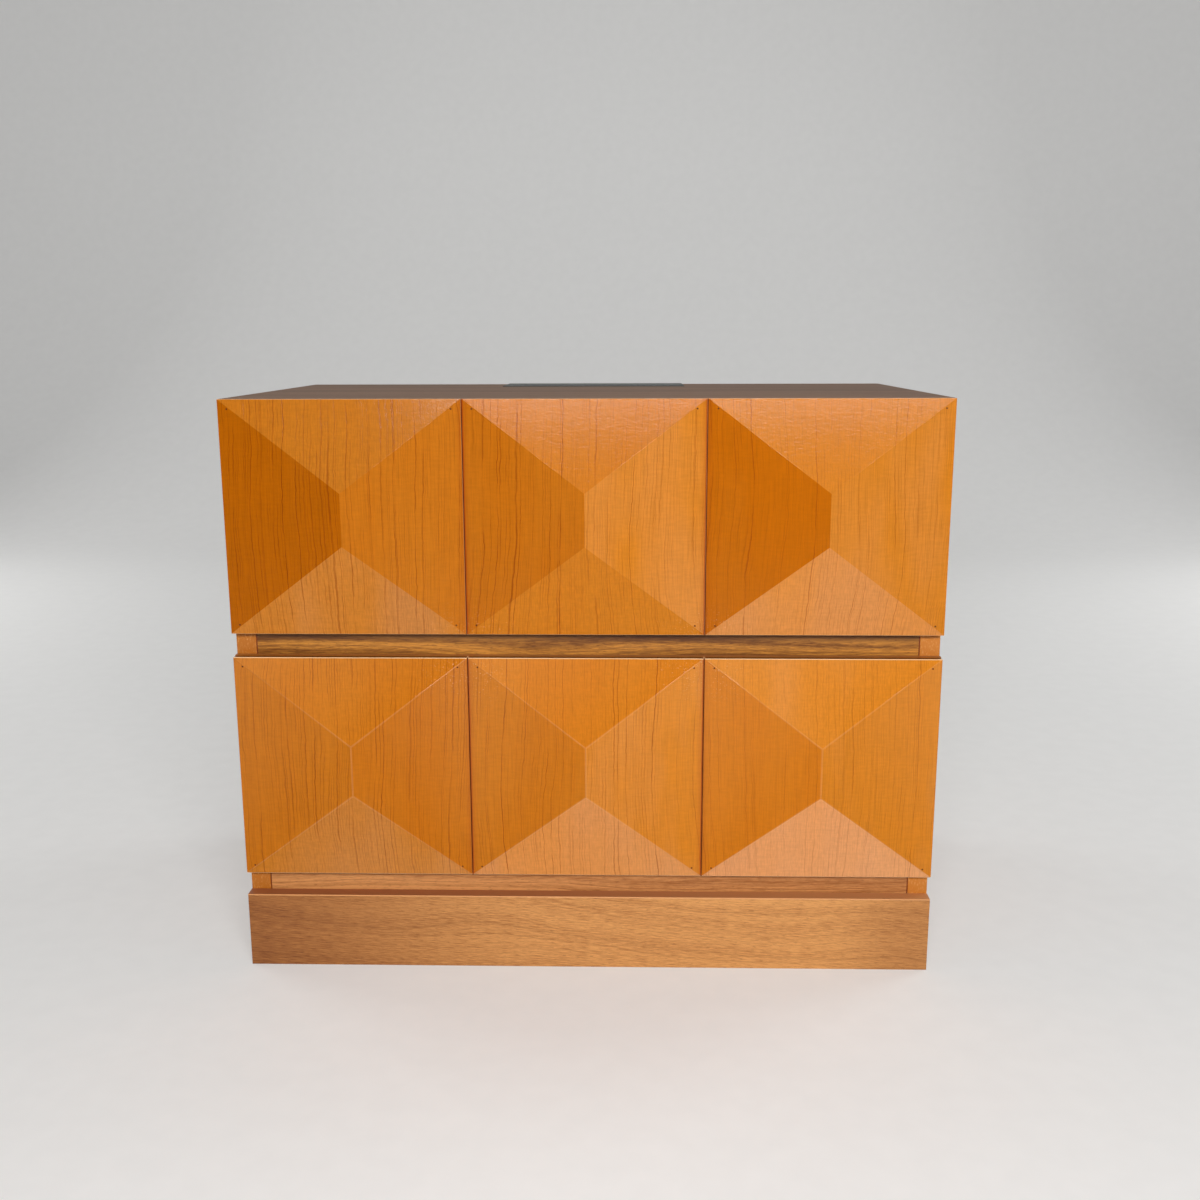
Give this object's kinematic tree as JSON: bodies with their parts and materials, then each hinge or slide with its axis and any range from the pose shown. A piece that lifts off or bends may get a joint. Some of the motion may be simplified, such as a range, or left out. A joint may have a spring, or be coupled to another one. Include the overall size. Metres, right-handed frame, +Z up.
{
  "type": "nightstand",
  "caption": "Low wooden nightstand on a plinth, with drawers whose fronts are raised hipped blocks and are pulled from a finger gap below.",
  "frame": {"origin": "on the floor under the middle of the whole piece", "axes": "+X to the right seen from the front, +Y towards the back, +Z up; the drawers open towards -Y"},
  "size_m": [0.6, 0.3414, 0.5008],
  "materials": {
    "cabinet_wood": "warm brown hardwood, satin lacquer",
    "front_wood": "honey-coloured cherry, satin lacquer",
    "pin_wood": "dark wooden pins",
    "drawer_wood": "pale sanded beech",
    "plain_wood": "unfinished beech",
    "dowel_wood": "unfinished beech",
    "plywood": "plywood with a plain veneer",
    "dark_metal": "dark painted plate",
    "steel": "plain steel"
  },
  "bodies": {
    "carcass": {"top_panel": "cabinet_wood", "side_panel_left": "cabinet_wood", "side_panel_right": "cabinet_wood", "bottom_panel": "plywood", "bottom_rail": "cabinet_wood", "middle_rail": "cabinet_wood", "rear_stretcher": "plain_wood", "carcass_dowels": "dowel_wood", "back_panel": "plywood", "back_panel_nails": "steel", "plinth_front": "cabinet_wood", "plinth_glue_blocks": "plain_wood", "mitre_tongue_left": "plain_wood", "mitre_tongue_right": "plain_wood", "top_plate": "dark_metal", "lower_runner_left": "plain_wood", "lower_runner_right": "plain_wood", "upper_runner_left": "plain_wood", "upper_runner_right": "plain_wood", "runner_screws": "steel"},
    "upper_drawer": {"upper_front_backing": "front_wood", "upper_block_left": "front_wood", "upper_block_centre": "front_wood", "upper_block_right": "front_wood", "upper_block_pins": "pin_wood", "upper_front_screws": "steel", "upper_box_front": "drawer_wood", "upper_box_side_left": "drawer_wood", "upper_box_side_right": "drawer_wood", "upper_box_back": "drawer_wood", "upper_drawer_bottom": "plywood", "upper_bottom_screws": "steel"},
    "lower_drawer": {"lower_front_backing": "front_wood", "lower_block_left": "front_wood", "lower_block_centre": "front_wood", "lower_block_right": "front_wood", "lower_block_pins": "pin_wood", "lower_front_screws": "steel", "lower_box_front": "drawer_wood", "lower_box_side_left": "drawer_wood", "lower_box_side_right": "drawer_wood", "lower_box_back": "drawer_wood", "lower_drawer_bottom": "plywood", "lower_bottom_screws": "steel"}
  },
  "joints": [
    {"name": "upper_drawer_slide", "type": "slide", "parent": "carcass", "child": "upper_drawer", "axis": [0, -1, 0], "range_m": [0, 0.22]},
    {"name": "lower_drawer_slide", "type": "slide", "parent": "carcass", "child": "lower_drawer", "axis": [0, -1, 0], "range_m": [0, 0.22]}
  ]
}
